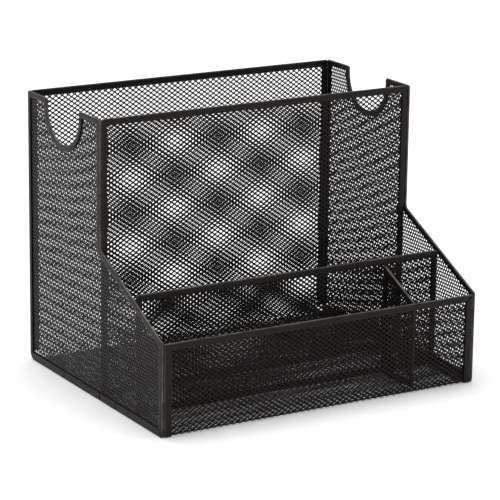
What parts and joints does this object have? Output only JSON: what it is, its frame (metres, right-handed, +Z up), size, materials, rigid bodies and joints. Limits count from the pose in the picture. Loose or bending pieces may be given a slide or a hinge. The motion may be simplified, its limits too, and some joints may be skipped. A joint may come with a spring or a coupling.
{
  "type": "desk organizer",
  "caption": "Black steel mesh desk organizer with front compartments, a letter slot and a tall hanging file bay.",
  "frame": {"origin": "middle of the footprint, on the surface that the organizer stands on", "axes": "+X to the right seen from the front, +Y from the front to the back, +Z up"},
  "size_m": [0.305, 0.24, 0.24],
  "materials": {
    "black_mesh": "satin",
    "black_strip": "satin"
  },
  "bodies": {
    "root": {"back_left_strip": "black_strip", "back_right_strip": "black_strip", "back_top_rail": "black_strip", "file_wall_bottom_strip": "black_strip", "file_wall_left_strip": "black_strip", "file_wall_mesh": "black_mesh", "file_wall_right_strip": "black_strip", "file_wall_top_rail": "black_strip", "floor_left_strip": "black_strip", "floor_right_strip": "black_strip", "front_left_strip": "black_strip", "front_right_strip": "black_strip", "front_top_rail": "black_strip", "left_back_strip": "black_strip", "left_base_strip_file": "black_strip", "left_base_strip_front": "black_strip", "left_base_strip_letter": "black_strip", "left_base_strip_rear": "black_strip", "left_cutout_trim": "black_strip", "left_front_strip": "black_strip", "left_riser_strip": "black_strip", "left_side_mesh": "black_mesh", "left_slope_strip": "black_strip", "left_top_strip_front": "black_strip", "left_top_strip_rear": "black_strip", "letter_wall_bottom_strip": "black_strip", "letter_wall_left_strip": "black_strip", "letter_wall_mesh": "black_mesh", "letter_wall_right_strip": "black_strip", "letter_wall_top_rail": "black_strip", "pen_wall_bottom_strip": "black_strip", "pen_wall_front_strip": "black_strip", "pen_wall_mesh": "black_mesh", "pen_wall_rear_strip": "black_strip", "pen_wall_top_rail": "black_strip", "right_back_strip": "black_strip", "right_base_strip_file": "black_strip", "right_base_strip_front": "black_strip", "right_base_strip_letter": "black_strip", "right_base_strip_rear": "black_strip", "right_cutout_trim": "black_strip", "right_front_strip": "black_strip", "right_riser_strip": "black_strip", "right_side_mesh": "black_mesh", "right_slope_strip": "black_strip", "right_top_strip_front": "black_strip", "right_top_strip_rear": "black_strip", "wrap_mesh": "black_mesh"}
  },
  "joints": []
}
